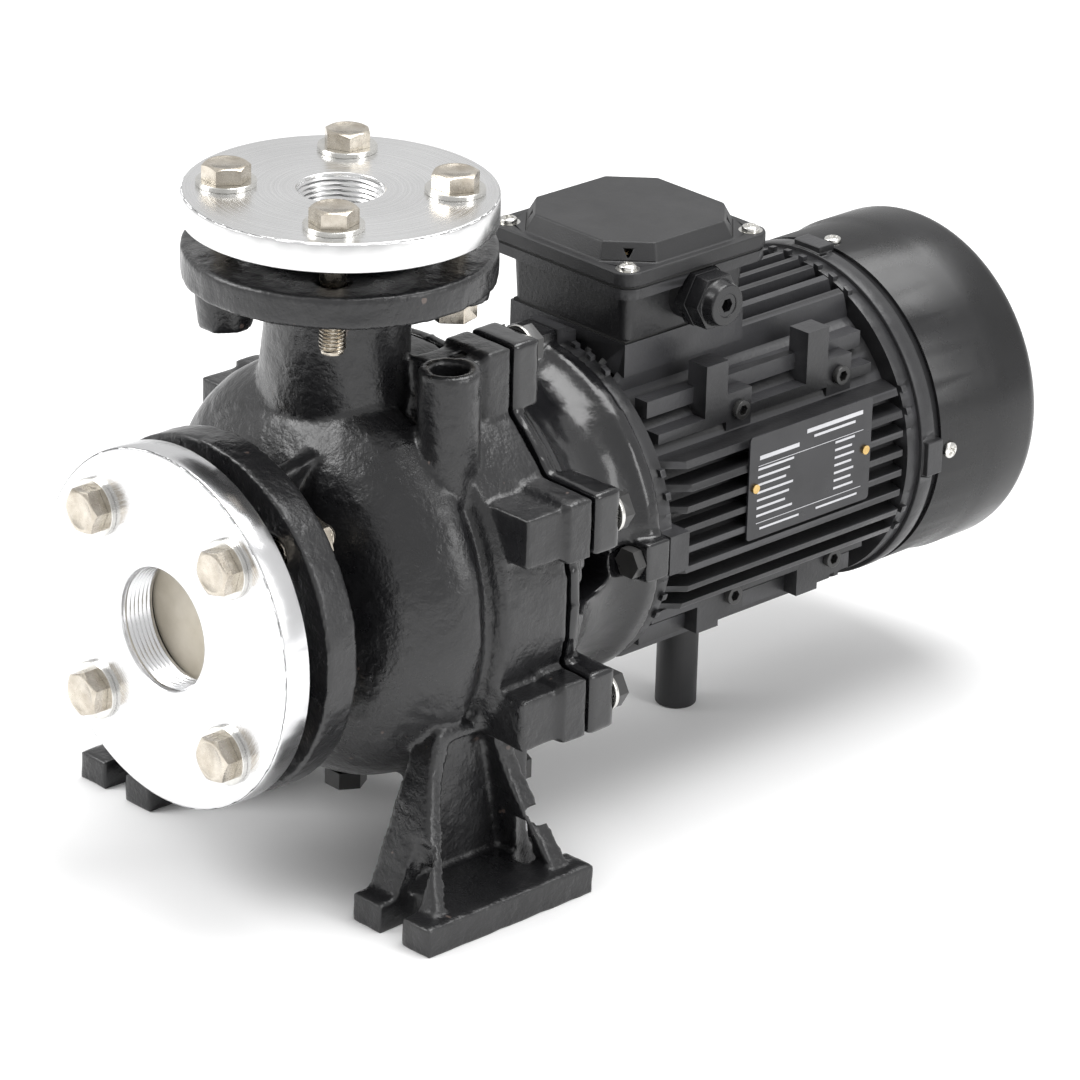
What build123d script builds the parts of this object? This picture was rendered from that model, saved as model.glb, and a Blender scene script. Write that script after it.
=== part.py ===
from build123d import *
import math
import os

os.makedirs("parts", exist_ok=True)

# Driving dimensions, mm. +Y runs along the shaft from suction to fan, +X is to the right, +Z is up.
SHAFT_Z = 132.0
SUCTION_FACE = -80.0
DISCHARGE_FACE = 292.0
FACE_RAISE = 3.0
GASKET_T = 3.0
SUCTION_R = 82.5
SUCTION_PCR = 62.5
SUCTION_FLANGE_T = 17.0
SUCTION_DISC_T = 14.0
SUCTION_HUB_T = 4.5
SUCTION_BORE_R = 28.33
DISCHARGE_R = 70.0
DISCHARGE_PCR = 50.0
DISCHARGE_FLANGE_T = 15.0
DISCHARGE_DISC_T = 13.5
DISCHARGE_HUB_T = 5.4
DISCHARGE_BORE_R = 19.48
BOLT_R = 6.0
BOLT_HOLE_R = 9.0
BOLT_AF = 19.0
BOLT_HEAD_T = 7.5
NUT_T = 10.0
BOLT_L = 60.0
BOSS_T = 8.5
DEEP_BOSS_T = 26.0
WASHER_R = 13.5
WASHER_T = 2.5
SCROLL_X = -4.0
SCROLL_DZ = 3.0
FOOT_X_IN = 70.0
FOOT_X_OUT = 120.0
FOOT_HALF_Y = 50.0
FOOT_T = 14.0
SLOT_X = 95.0
SLOT_Y = 35.0
SLOT_R = 7.0
SEAM_Y = 50.0
SEAM_GAP = 2.5
RIM_R = 99.0
LUG_X = 43.5
LUG_W = 29.0
LUG_OUT = 112.0
LUG_HOLE = 103.5
CASING_BOLT_R = 5.0
MOTOR_Y0 = 125.0
MOTOR_Y1 = 297.0
MOTOR_BOLT_PCR = 79.5
STATOR_R = 66.0
AIR_R = 42.5
SHELL_R = 71.0
FIN_R = 82.0
FIN_X = 78.5
FIN_T = 3.2
FIN_PITCH = 10.0
PAD_X = 61.0
PAD_DZ = 46.6
PAD_YS = (192.8, 259.1)
RISER_LIFT = 6.0
BEARING_R_OUT = 26.0
BEARING_R_IN = 12.5
BEARING_W = 15.0
FRONT_BEARING_Y = 104.0
REAR_BEARING_Y = 293.0
BEARING_YS = (FRONT_BEARING_Y + BEARING_W / 2, REAR_BEARING_Y + BEARING_W / 2)
BALL_R = 3.97
BALL_PCR = 19.25
BALLS = 9
COVER_Y0 = 310.6
COVER_Y1 = 380.0
COVER_R = 81.6
BOX_Y = 178.5
BOX_Z0 = 216.0
BOX_Z1 = 246.0
LID_TOP = 262.5
LID_PITCH = 78.0
GLAND_Y = 180.0
GLAND_Z = 233.2
LEG_Y = 221.0
LEG_R = 10.0
LEG_TOP = 52.0

SHAFT = Axis((0, 0, SHAFT_Z), (0, 1, 0))
RADIAL = Plane(origin=(0, 0, SHAFT_Z), x_dir=(0, 1, 0), z_dir=(1, 0, 0))
UPRIGHT = Plane(origin=(0, 0, 0), x_dir=(1, 0, 0), z_dir=(0, -1, 0))


# Plane square to the shaft at station y; its normal points back to the suction end.
def across(y):
    return Plane(origin=(0, y, SHAFT_Z), x_dir=(1, 0, 0), z_dir=(0, -1, 0))


# Plane square to X at station x; its local axes are +Y and +Z.
def side(x, y=0.0, z=0.0):
    return Plane(origin=(x, y, z), x_dir=(0, 1, 0), z_dir=(1, 0, 0))


# ---- one cast foot leg: sloping end ribs joined by a recessed web ----
with BuildPart() as foot_leg:
    with BuildSketch(side(FOOT_X_IN)):
        Polygon((-43, 8), (-13, 84), (27, 84), (43, 8), align=None)
    extrude(amount=46)
    with BuildSketch(Plane(origin=(0, 60, 0), x_dir=(1, 0, 0), z_dir=(0, -1, 0))):
        with BuildLine():
            Polyline((84, 90), (66, 90), (66, 8), (113, 8), (111, 18))
            Spline((111, 18), (99, 38), (88, 62), (84, 90))
        make_face()
    extrude(amount=120, mode=Mode.INTERSECT)
    with BuildSketch(side(FOOT_X_IN + 8)):
        Polygon((-33, FOOT_T), (-6, 78), (19, 78), (31, FOOT_T), align=None)
    extrude(amount=60, mode=Mode.SUBTRACT)

# ---- pump casing with both flanges, feet and clamping lugs ----
with BuildPart() as volute_casing:
    with BuildSketch(RADIAL):
        with BuildLine():
            Polyline((1, 95), (5, 91), (9, 91), (12, RIM_R), (SEAM_Y, RIM_R), (SEAM_Y, 0))
            Polyline((SEAM_Y, 0), (-60, 0), (-60, 44), (-47, 42))
            Spline((-47, 42), (-40, 55), (-30, 76), (-16, 90), (1, 95))
        make_face()
    revolve(axis=SHAFT)
    # Scroll, set off centre so that it widens towards the discharge.
    with BuildSketch(Plane(origin=(SCROLL_X, 0, SHAFT_Z + SCROLL_DZ), x_dir=(0, 1, 0), z_dir=(1, 0, 0))):
        with BuildLine():
            Polyline((3, 60), (-26, 60), (-26, 79))
            Spline((-26, 79), (-14, 92), (3, 96))
            Line((3, 96), (3, 60))
        make_face()
    revolve(axis=Axis((SCROLL_X, 0, SHAFT_Z + SCROLL_DZ), (0, 1, 0)))
    # Discharge neck, wide where it leaves the scroll.
    with BuildSketch(Plane.XY.offset(188)):
        with Locations((-8, 3)):
            Ellipse(50, 27)
    with BuildSketch(Plane.XY.offset(235)):
        with Locations((-3, 1)):
            Ellipse(37, 30)
    with BuildSketch(Plane.XY.offset(DISCHARGE_FACE - FACE_RAISE - DISCHARGE_FLANGE_T + 2)):
        Circle(33)
    loft()
    # Discharge flange with its raised face and the cast pads under the bolt holes.
    with BuildSketch(Plane.XY.offset(DISCHARGE_FACE - FACE_RAISE)):
        Circle(DISCHARGE_R)
    extrude(amount=-DISCHARGE_FLANGE_T)
    with BuildSketch(Plane.XY.offset(DISCHARGE_FACE)):
        Circle(39)
    extrude(amount=-FACE_RAISE)
    with BuildSketch(Plane.XY.offset(DISCHARGE_FACE - FACE_RAISE - DISCHARGE_FLANGE_T)):
        with PolarLocations(DISCHARGE_PCR, 2, start_angle=45, angular_range=90, endpoint=True):
            Circle(16.5)
    extrude(amount=-BOSS_T)
    with BuildSketch(Plane.XY.offset(DISCHARGE_FACE - FACE_RAISE - DISCHARGE_FLANGE_T)):
        with PolarLocations(DISCHARGE_PCR, 1, start_angle=225):
            Circle(15)
    extrude(amount=-DEEP_BOSS_T, taper=6)
    # Suction flange with its raised face.
    with BuildSketch(across(SUCTION_FACE + FACE_RAISE)):
        Circle(SUCTION_R)
    extrude(amount=-SUCTION_FLANGE_T)
    with BuildSketch(across(SUCTION_FACE)):
        Circle(51)
    extrude(amount=-FACE_RAISE)
    # Rear clamping lugs with long bosses running forward over the scroll.
    with BuildSketch(across(SEAM_Y)):
        with PolarLocations(0, 4):
            with Locations((95, LUG_X), (95, -LUG_X)):
                Rectangle(2 * (LUG_OUT - 95), LUG_W)
    extrude(amount=14)
    with BuildSketch(across(SEAM_Y)):
        with PolarLocations(0, 4):
            with Locations((95, LUG_X), (95, -LUG_X)):
                Rectangle(2 * (LUG_OUT - 98), LUG_W - 5)
    extrude(amount=36)
    # Cast boss for the filling plug beside the discharge neck.
    with BuildSketch(Plane.XY.offset(246)):
        with Locations((61.5, 10)):
            Circle(14)
    extrude(amount=-60)
    # Stiffening rib between the suction neck and the dome.
    with BuildSketch(Plane(origin=(0, 0, SHAFT_Z), x_dir=(0, 1, 0), z_dir=(1, 0, -0.27))):
        Polygon((-62, 40), (-62, 66), (-20, 78), (-20, 40), align=None)
    extrude(amount=4, both=True)
    # Feet: slotted pads, end ribs and the web between them.
    for hand in (-1, 1):
        with BuildSketch(Plane.XY):
            with Locations((hand * (FOOT_X_IN + FOOT_X_OUT) / 2, 0)):
                Rectangle(FOOT_X_OUT - FOOT_X_IN, 2 * FOOT_HALF_Y)
        extrude(amount=FOOT_T)
    add(foot_leg.part)
    mirror(foot_leg.part, about=Plane.YZ)
    # Waterways: suction eye, wear ring seat, impeller chamber, scroll channel and discharge bore.
    with BuildSketch(RADIAL):
        with BuildLine():
            Polyline((-81, 0), (-81, 25), (-24, 25), (-24, 32.3), (-15, 32.3), (-15, 37), (-8, 56), (-8, 86))
            Polyline((-8, 86), (44, 86), (44, 92))
            Polyline((44, 92), (51, 92), (51, 0), (-81, 0))
        make_face()
    revolve(axis=SHAFT, mode=Mode.SUBTRACT)
    with BuildSketch(across(-4)):
        with Locations((-4, 2)):
            Circle(89.5)
    extrude(amount=-20, mode=Mode.SUBTRACT)
    with BuildSketch(Plane.XY.offset(DISCHARGE_FACE)):
        Circle(16)
    extrude(amount=-84, mode=Mode.SUBTRACT)
    # Bolt holes, tapped lug holes, slots and plug holes.
    with BuildSketch(across(SUCTION_FACE)):
        with PolarLocations(SUCTION_PCR, 4, start_angle=45):
            Circle(BOLT_HOLE_R)
    extrude(amount=-22, mode=Mode.SUBTRACT)
    with BuildSketch(Plane.XY.offset(DISCHARGE_FACE)):
        with PolarLocations(DISCHARGE_PCR, 2, start_angle=45, angular_range=90, endpoint=True):
            Circle(BOLT_HOLE_R)
        with PolarLocations(DISCHARGE_PCR, 2, start_angle=225, angular_range=90, endpoint=True):
            Circle(BOLT_R)
    extrude(amount=-36, mode=Mode.SUBTRACT)
    with BuildSketch(across(SEAM_Y)):
        with PolarLocations(0, 4):
            with Locations((LUG_HOLE, LUG_X), (LUG_HOLE, -LUG_X)):
                Circle(CASING_BOLT_R)
    extrude(amount=24, mode=Mode.SUBTRACT)
    with BuildSketch(Plane.XY):
        with GridLocations(2 * SLOT_X, 2 * SLOT_Y, 2, 2):
            Circle(SLOT_R)
        with GridLocations(2 * SLOT_X, 2 * SLOT_Y + 20, 2, 2):
            Rectangle(2 * SLOT_R, 20)
    extrude(amount=40, mode=Mode.SUBTRACT)
    with BuildSketch(Plane.XY.offset(246)):
        with Locations((61.5, 10)):
            Circle(8.5)
    extrude(amount=-24, mode=Mode.SUBTRACT)
    with BuildSketch(Plane.XY.offset(20)):
        with Locations((0, 8)):
            Circle(6.5)
    extrude(amount=40, mode=Mode.SUBTRACT)
volute_casing.part.label = "volute_casing"
export_step(volute_casing.part, "parts/volute_casing.step")

# ---- suction connection: gasket, threaded counter flange and its fasteners ----
with BuildPart() as suction_gasket:
    with BuildSketch(across(SUCTION_FACE)):
        Circle(51)
        Circle(30, mode=Mode.SUBTRACT)
    extrude(amount=GASKET_T)
suction_gasket.part.label = "suction_gasket"
export_step(suction_gasket.part, "parts/suction_gasket.step")

with BuildPart() as suction_blanking_disc:
    # Thin transit disc that closes the port, held inside the gasket ring.
    with BuildSketch(across(SUCTION_FACE)):
        Circle(30)
    extrude(amount=1.5)
suction_blanking_disc.part.label = "suction_blanking_disc"
export_step(suction_blanking_disc.part, "parts/suction_blanking_disc.step")

SUCTION_OUT = SUCTION_FACE - GASKET_T - SUCTION_HUB_T - SUCTION_DISC_T
with BuildPart() as suction_counter_flange:
    with BuildSketch(across(SUCTION_FACE - GASKET_T)):
        Circle(51)
    extrude(amount=SUCTION_HUB_T)
    with BuildSketch(across(SUCTION_FACE - GASKET_T - SUCTION_HUB_T)):
        Circle(SUCTION_R)
    extrude(amount=SUCTION_DISC_T)
    with BuildSketch(across(SUCTION_OUT)):
        Circle(SUCTION_BORE_R)
        with PolarLocations(SUCTION_PCR, 4, start_angle=45):
            Circle(BOLT_HOLE_R)
    extrude(amount=-30, mode=Mode.SUBTRACT)
    chamfer(suction_counter_flange.edges().filter_by(GeomType.CIRCLE).filter_by(lambda e: e.radius > 82).group_by(Axis.Y)[0], 0.8)
suction_counter_flange.part.label = "suction_counter_flange"
export_step(suction_counter_flange.part, "parts/suction_counter_flange.step")

# ---- discharge connection ----
with BuildPart() as discharge_gasket:
    with BuildSketch(Plane.XY.offset(DISCHARGE_FACE)):
        Circle(39)
        Circle(21, mode=Mode.SUBTRACT)
    extrude(amount=GASKET_T)
discharge_gasket.part.label = "discharge_gasket"
export_step(discharge_gasket.part, "parts/discharge_gasket.step")

DISCHARGE_TOP = DISCHARGE_FACE + GASKET_T + DISCHARGE_HUB_T + DISCHARGE_DISC_T
with BuildPart() as discharge_counter_flange:
    with BuildSketch(Plane.XY.offset(DISCHARGE_FACE + GASKET_T)):
        Circle(39)
    extrude(amount=DISCHARGE_HUB_T)
    with BuildSketch(Plane.XY.offset(DISCHARGE_FACE + GASKET_T + DISCHARGE_HUB_T)):
        Circle(DISCHARGE_R)
    extrude(amount=DISCHARGE_DISC_T)
    with BuildSketch(Plane.XY.offset(DISCHARGE_TOP)):
        Circle(DISCHARGE_BORE_R)
        with PolarLocations(DISCHARGE_PCR, 4, start_angle=45):
            Circle(BOLT_HOLE_R)
    extrude(amount=-30, mode=Mode.SUBTRACT)
    chamfer(discharge_counter_flange.edges().filter_by(GeomType.CIRCLE).filter_by(lambda e: e.radius > 69).group_by(Axis.Z)[-1], 0.8)
discharge_counter_flange.part.label = "discharge_counter_flange"
export_step(discharge_counter_flange.part, "parts/discharge_counter_flange.step")

# ---- fasteners of both counter flanges, the same M12 bolt, washer and nut ----
with BuildPart() as flange_washers:
    with BuildSketch(across(SUCTION_OUT)):
        with PolarLocations(SUCTION_PCR, 4, start_angle=45):
            Circle(WASHER_R)
            Circle(BOLT_R, mode=Mode.SUBTRACT)
    extrude(amount=WASHER_T)
    with BuildSketch(Plane.XY.offset(DISCHARGE_TOP)):
        with PolarLocations(DISCHARGE_PCR, 4, start_angle=45):
            Circle(WASHER_R)
            Circle(BOLT_R, mode=Mode.SUBTRACT)
    extrude(amount=WASHER_T)
flange_washers.part.label = "flange_washers"
export_step(flange_washers.part, "parts/flange_washers.step")

with BuildPart() as flange_bolts:
    with BuildSketch(across(SUCTION_OUT - WASHER_T)):
        with PolarLocations(SUCTION_PCR, 4, start_angle=45):
            RegularPolygon(BOLT_AF / 2, 6, major_radius=False)
    extrude(amount=BOLT_HEAD_T)
    with BuildSketch(across(SUCTION_OUT - WASHER_T)):
        with PolarLocations(SUCTION_PCR, 4, start_angle=45):
            Circle(BOLT_R)
    extrude(amount=-BOLT_L)
    with BuildSketch(Plane.XY.offset(DISCHARGE_TOP + WASHER_T)):
        with PolarLocations(DISCHARGE_PCR, 4, start_angle=45):
            RegularPolygon(BOLT_AF / 2, 6, major_radius=False)
    extrude(amount=BOLT_HEAD_T)
    with BuildSketch(Plane.XY.offset(DISCHARGE_TOP + WASHER_T)):
        with PolarLocations(DISCHARGE_PCR, 4, start_angle=45):
            Circle(BOLT_R)
    extrude(amount=-BOLT_L)
flange_bolts.part.label = "flange_bolts"
export_step(flange_bolts.part, "parts/flange_bolts.step")

with BuildPart() as flange_nuts:
    # The two discharge bolts nearest the suction end are tapped into the casting and carry no nut.
    with BuildSketch(across(SUCTION_FACE + FACE_RAISE + SUCTION_FLANGE_T)):
        with PolarLocations(SUCTION_PCR, 4, start_angle=45):
            RegularPolygon(BOLT_AF / 2, 6, major_radius=False)
            Circle(BOLT_R, mode=Mode.SUBTRACT)
    extrude(amount=-NUT_T)
    with BuildSketch(Plane.XY.offset(DISCHARGE_FACE - FACE_RAISE - DISCHARGE_FLANGE_T - BOSS_T)):
        with PolarLocations(DISCHARGE_PCR, 2, start_angle=45, angular_range=90, endpoint=True):
            RegularPolygon(BOLT_AF / 2, 6, major_radius=False)
            Circle(BOLT_R, mode=Mode.SUBTRACT)
    extrude(amount=-NUT_T)
flange_nuts.part.label = "flange_nuts"
export_step(flange_nuts.part, "parts/flange_nuts.step")

with BuildPart() as drain_plug:
    with BuildSketch(Plane.XY.offset(SHAFT_Z - 98)):
        with Locations((0, 8)):
            Circle(6.5)
    extrude(amount=10)
    with BuildSketch(Plane.XY.offset(SHAFT_Z - 100)):
        with Locations((0, 8)):
            RegularPolygon(8.5, 6, major_radius=False)
    extrude(amount=-8)
    with BuildSketch(Plane.XY.offset(SHAFT_Z - 100)):
        with Locations((0, 8)):
            Circle(6.5)
    extrude(amount=3)
drain_plug.part.label = "drain_plug"
export_step(drain_plug.part, "parts/drain_plug.step")

# ---- wet end: back plate, o-ring, impeller and mechanical seal ----
with BuildPart() as back_plate:
    with BuildSketch(RADIAL):
        with BuildLine():
            Polyline((44, 91.8), (52.5, 91.8), (52.5, 78), (44, 78), (30, 70), (30, 34), (62, 30), (62, 21))
            Polyline((62, 21), (50, 21), (50, 16.5), (46, 16.5), (46, 21), (22, 24), (22, 85.8))
            Polyline((22, 85.8), (36, 85.8), (36, 83), (40, 83), (40, 85.8), (44, 85.8), (44, 91.8))
        make_face()
    revolve(axis=SHAFT)
back_plate.part.label = "back_plate"
export_step(back_plate.part, "parts/back_plate.step")

with BuildPart() as casing_o_ring:
    with BuildSketch(RADIAL):
        with Locations((38, 84.5)):
            Circle(1.45)
    revolve(axis=SHAFT)
casing_o_ring.part.label = "casing_o_ring"
export_step(casing_o_ring.part, "parts/casing_o_ring.step")

with BuildPart() as impeller:
    # Closed impeller: front shroud with the wear ring, rear shroud with the hub, swept blades.
    with BuildSketch(RADIAL):
        Polygon((-23, 28), (-23, 32), (-12.5, 32), (-12.5, 34), (-6.5, 52), (-6.5, 80), (-3.5, 80), (-3.5, 49),
                (-9, 28), align=None)
    revolve(axis=SHAFT)
    with BuildSketch(RADIAL):
        Polygon((-10, 10), (-10, 15), (0, 20), (4, 30), (4, 80), (7, 80), (7, 30), (16, 16), (16, 10), align=None)
    revolve(axis=SHAFT)
    with BuildSketch(across(-4)):
        with PolarLocations(0, 6):
            with BuildLine():
                ThreePointArc((30, 0), (54, -12), (70, -38.5))
                ThreePointArc((70, -38.5), (51, -15), (30, -4))
                Line((30, -4), (30, 0))
            make_face()
    extrude(amount=-9)
    with BuildSketch(across(-12)):
        with Locations((0, 10)):
            Rectangle(6, 5.6)
    extrude(amount=-30, mode=Mode.SUBTRACT)
impeller.part.label = "impeller"
export_step(impeller.part, "parts/impeller.step")

with BuildPart() as impeller_key:
    with BuildSketch(across(-8)):
        with Locations((0, 9.8)):
            Rectangle(6, 6)
    extrude(amount=-20)
impeller_key.part.label = "impeller_key"
export_step(impeller_key.part, "parts/impeller_key.step")

with BuildPart() as impeller_washer:
    with BuildSketch(across(-12.5)):
        Circle(14)
        Circle(6, mode=Mode.SUBTRACT)
    extrude(amount=-2.5)
impeller_washer.part.label = "impeller_washer"
export_step(impeller_washer.part, "parts/impeller_washer.step")

with BuildPart() as impeller_nut:
    with BuildSketch(across(-22.5)):
        RegularPolygon(BOLT_AF / 2, 6, major_radius=False)
        Circle(6, mode=Mode.SUBTRACT)
    extrude(amount=-10)
impeller_nut.part.label = "impeller_nut"
export_step(impeller_nut.part, "parts/impeller_nut.step")

with BuildPart() as seal_seat:
    # Stationary ceramic ring, pressed into the back plate.
    with BuildSketch(across(38)):
        Circle(21)
        Circle(12, mode=Mode.SUBTRACT)
    extrude(amount=-8)
seal_seat.part.label = "seal_seat"
export_step(seal_seat.part, "parts/seal_seat.step")

with BuildPart() as seal_ring:
    with BuildSketch(across(33)):
        Circle(16)
        Circle(10, mode=Mode.SUBTRACT)
    extrude(amount=-4.95)
seal_ring.part.label = "seal_ring"
export_step(seal_ring.part, "parts/seal_ring.step")

with BuildPart() as seal_spring:
    # Closed-end spring pushing the rotating ring on its seat.
    for y in (17.2, 22.5, 27.8):
        with BuildSketch(Plane(origin=(0, y, SHAFT_Z), x_dir=(0, 1, 0), z_dir=(1, 0, 0))):
            with Locations((1, 15.2)):
                Circle(0.9)
        revolve(axis=SHAFT)
    with BuildSketch(across(18)):
        with PolarLocations(15.2, 3):
            Rectangle(1.2, 2)
    extrude(amount=-11)
seal_spring.part.label = "seal_spring"
export_step(seal_spring.part, "parts/seal_spring.step")

with BuildPart() as seal_bellows:
    with BuildSketch(RADIAL):
        Polygon((16.2, 10), (16.2, 13.5), (24, 13.5), (27, 13.8), (30, 13.8), (30, 15.5), (33, 15.5), (33, 10),
                align=None)
    revolve(axis=SHAFT)
seal_bellows.part.label = "seal_bellows"
export_step(seal_bellows.part, "parts/seal_bellows.step")

# ---- lantern bracket between pump and motor, with its bolts ----
BRACKET_Y = SEAM_Y + SEAM_GAP
with BuildPart() as motor_bracket:
    with BuildSketch(RADIAL):
        with BuildLine():
            Polyline((BRACKET_Y, 78), (BRACKET_Y, RIM_R), (58, RIM_R), (58, 94), (64, 94), (64, 90), (69, 90))
            Spline((69, 90), (78, 82), (90, 77), (104, 76), (115, 80))
            Polyline((115, 80), (118, 82), (MOTOR_Y0, 82), (MOTOR_Y0, 74), (119, 74), (112, 66), (103, 60))
            Polyline((103, 60), (103, 36), (120, 36), (120, 26), (104, 26), (104, 20), (96, 20), (96, 60))
            Polyline((96, 60), (82, 70), (70, 80), (60, 80), (60, 78), (BRACKET_Y, 78))
        make_face()
    revolve(axis=SHAFT)
    with BuildSketch(across(BRACKET_Y)):
        with PolarLocations(0, 4):
            with Locations((96, LUG_X), (96, -LUG_X)):
                Rectangle(2 * (LUG_OUT - 96), LUG_W)
        Circle(79, mode=Mode.SUBTRACT)
    extrude(amount=-15)
    with BuildSketch(across(110)):
        with PolarLocations(0, 4):
            with Locations((77, 0)):
                Rectangle(20, 19)
    extrude(amount=-15)
    # Side windows of the lantern.
    with BuildSketch(side(0, 80, SHAFT_Z)):
        SlotOverall(40, 22)
    extrude(amount=120, both=True, mode=Mode.SUBTRACT)
    with BuildSketch(Plane.XY.offset(SHAFT_Z)):
        with Locations((0, 80)):
            SlotOverall(40, 22)
    extrude(amount=-120, mode=Mode.SUBTRACT)
    # Hub ribs, bolt holes.
    with BuildSketch(across(BRACKET_Y)):
        with PolarLocations(0, 4):
            with Locations((LUG_HOLE, LUG_X), (LUG_HOLE, -LUG_X)):
                Circle(5.5)
    extrude(amount=-20, mode=Mode.SUBTRACT)
    with BuildSketch(across(100)):
        with PolarLocations(MOTOR_BOLT_PCR, 4):
            Circle(8.2)
    extrude(amount=-10, mode=Mode.SUBTRACT)
    with BuildSketch(across(106)):
        with PolarLocations(MOTOR_BOLT_PCR, 4):
            Circle(4.5)
    extrude(amount=-24, mode=Mode.SUBTRACT)
motor_bracket.part.label = "motor_bracket"
export_step(motor_bracket.part, "parts/motor_bracket.step")

with BuildPart() as casing_washers:
    with BuildSketch(across(BRACKET_Y + 15)):
        with PolarLocations(0, 4):
            with Locations((LUG_HOLE, LUG_X), (LUG_HOLE, -LUG_X)):
                Circle(9.8)
                Circle(CASING_BOLT_R, mode=Mode.SUBTRACT)
    extrude(amount=-2)
casing_washers.part.label = "casing_washers"
export_step(casing_washers.part, "parts/casing_washers.step")

with BuildPart() as casing_bolts:
    with BuildSketch(across(BRACKET_Y + 17)):
        with PolarLocations(0, 4):
            with Locations((LUG_HOLE, LUG_X), (LUG_HOLE, -LUG_X)):
                RegularPolygon(8, 6, major_radius=False)
    extrude(amount=-6.4)
    with BuildSketch(across(BRACKET_Y + 17)):
        with PolarLocations(0, 4):
            with Locations((LUG_HOLE, LUG_X), (LUG_HOLE, -LUG_X)):
                Circle(CASING_BOLT_R)
    extrude(amount=40)
casing_bolts.part.label = "casing_bolts"
export_step(casing_bolts.part, "parts/casing_bolts.step")

with BuildPart() as motor_bolts:
    with BuildSketch(across(110)):
        with PolarLocations(MOTOR_BOLT_PCR, 4):
            RegularPolygon(6.5, 6, major_radius=False)
    extrude(amount=5.3)
    with BuildSketch(across(110)):
        with PolarLocations(MOTOR_BOLT_PCR, 4):
            Circle(4)
    extrude(amount=-27)
motor_bolts.part.label = "motor_bolts"
export_step(motor_bolts.part, "parts/motor_bolts.step")

# ---- rotor: stepped shaft, core, slinger, fan and retainers ----
with BuildPart() as shaft:
    with BuildSketch(RADIAL):
        with BuildLine():
            Polyline((-24, 0), (-24, 6), (-10, 6), (-10, 10), (62, 10), (62, 12), (96, 12), (96, 12.5))
            Polyline((96, 12.5), (119, 12.5), (119, 15), (293, 15), (293, 12.5), (308, 12.5), (308, 10), (362, 10))
            Polyline((362, 10), (362, 0), (-24, 0))
        make_face()
    revolve(axis=SHAFT)
    with BuildSketch(across(-8)):
        with Locations((0, 9.8)):
            Rectangle(6, 6)
    extrude(amount=-20, mode=Mode.SUBTRACT)
    with BuildSketch(across(338)):
        with Locations((0, 9.5)):
            Rectangle(5, 5)
    extrude(amount=-16, mode=Mode.SUBTRACT)
    with BuildSketch(RADIAL):
        with Locations((357, 10)):
            Rectangle(1.3, 2)
    revolve(axis=SHAFT, mode=Mode.SUBTRACT)
shaft.part.label = "shaft"
export_step(shaft.part, "parts/shaft.step")

with BuildPart() as slinger:
    with BuildSketch(RADIAL):
        Polygon((76, 12), (76, 17), (84, 24), (86, 24), (86, 12), align=None)
    revolve(axis=SHAFT)
slinger.part.label = "slinger"
export_step(slinger.part, "parts/slinger.step")

with BuildPart() as rotor_core:
    with BuildSketch(across(155)):
        Circle(AIR_R - 0.5)
        Circle(15, mode=Mode.SUBTRACT)
    extrude(amount=-110)
    for y in (145, 265):
        with BuildSketch(across(y)):
            Circle(40)
            Circle(28, mode=Mode.SUBTRACT)
        extrude(amount=-10)
rotor_core.part.label = "rotor_core"
export_step(rotor_core.part, "parts/rotor_core.step")

with BuildPart() as cooling_fan:
    with BuildSketch(across(330)):
        Circle(70)
        Circle(10, mode=Mode.SUBTRACT)
    extrude(amount=-3)
    with BuildSketch(across(333)):
        Circle(17)
        Circle(10, mode=Mode.SUBTRACT)
    extrude(amount=-22)
    with BuildSketch(across(333)):
        with PolarLocations(0, 7):
            with Locations((44, 0)):
                Rectangle(52, 2.4)
    extrude(amount=-24)
    with BuildSketch(across(338)):
        with Locations((0, 9.5)):
            Rectangle(5, 5)
    extrude(amount=-30, mode=Mode.SUBTRACT)
cooling_fan.part.label = "cooling_fan"
export_step(cooling_fan.part, "parts/cooling_fan.step")

with BuildPart() as fan_key:
    with BuildSketch(across(338)):
        with Locations((0, 9.5)):
            Rectangle(5, 5)
    extrude(amount=-16)
fan_key.part.label = "fan_key"
export_step(fan_key.part, "parts/fan_key.step")

with BuildPart() as fan_circlip:
    with BuildSketch(across(356.4)):
        Circle(13.5)
        Circle(9, mode=Mode.SUBTRACT)
        with Locations((0, 12)):
            Rectangle(5, 10, mode=Mode.SUBTRACT)
    extrude(amount=-1.2)
fan_circlip.part.label = "fan_circlip"
export_step(fan_circlip.part, "parts/fan_circlip.step")

# ---- ball bearings: inner rings turn with the shaft, outer rings stay in their seats ----
with BuildPart() as bearing_inner_rings:
    for y in BEARING_YS:
        with BuildSketch(RADIAL):
            with Locations((y, 14.6)):
                Rectangle(BEARING_W, 4.2)
            with Locations((y, BALL_PCR)):
                Circle(BALL_R + 0.05, mode=Mode.SUBTRACT)
        revolve(axis=SHAFT)
bearing_inner_rings.part.label = "bearing_inner_rings"
export_step(bearing_inner_rings.part, "parts/bearing_inner_rings.step")

with BuildPart() as bearing_outer_rings:
    for y in BEARING_YS:
        with BuildSketch(RADIAL):
            with Locations((y, 23.9)):
                Rectangle(BEARING_W, 4.2)
            with Locations((y, BALL_PCR)):
                Circle(BALL_R + 0.05, mode=Mode.SUBTRACT)
        revolve(axis=SHAFT)
bearing_outer_rings.part.label = "bearing_outer_rings"
export_step(bearing_outer_rings.part, "parts/bearing_outer_rings.step")

with BuildPart() as front_balls:
    with Locations(across(BEARING_YS[0])):
        with PolarLocations(BALL_PCR, BALLS):
            Sphere(BALL_R)
front_balls.part.label = "front_balls"
export_step(front_balls.part, "parts/front_balls.step")

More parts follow.
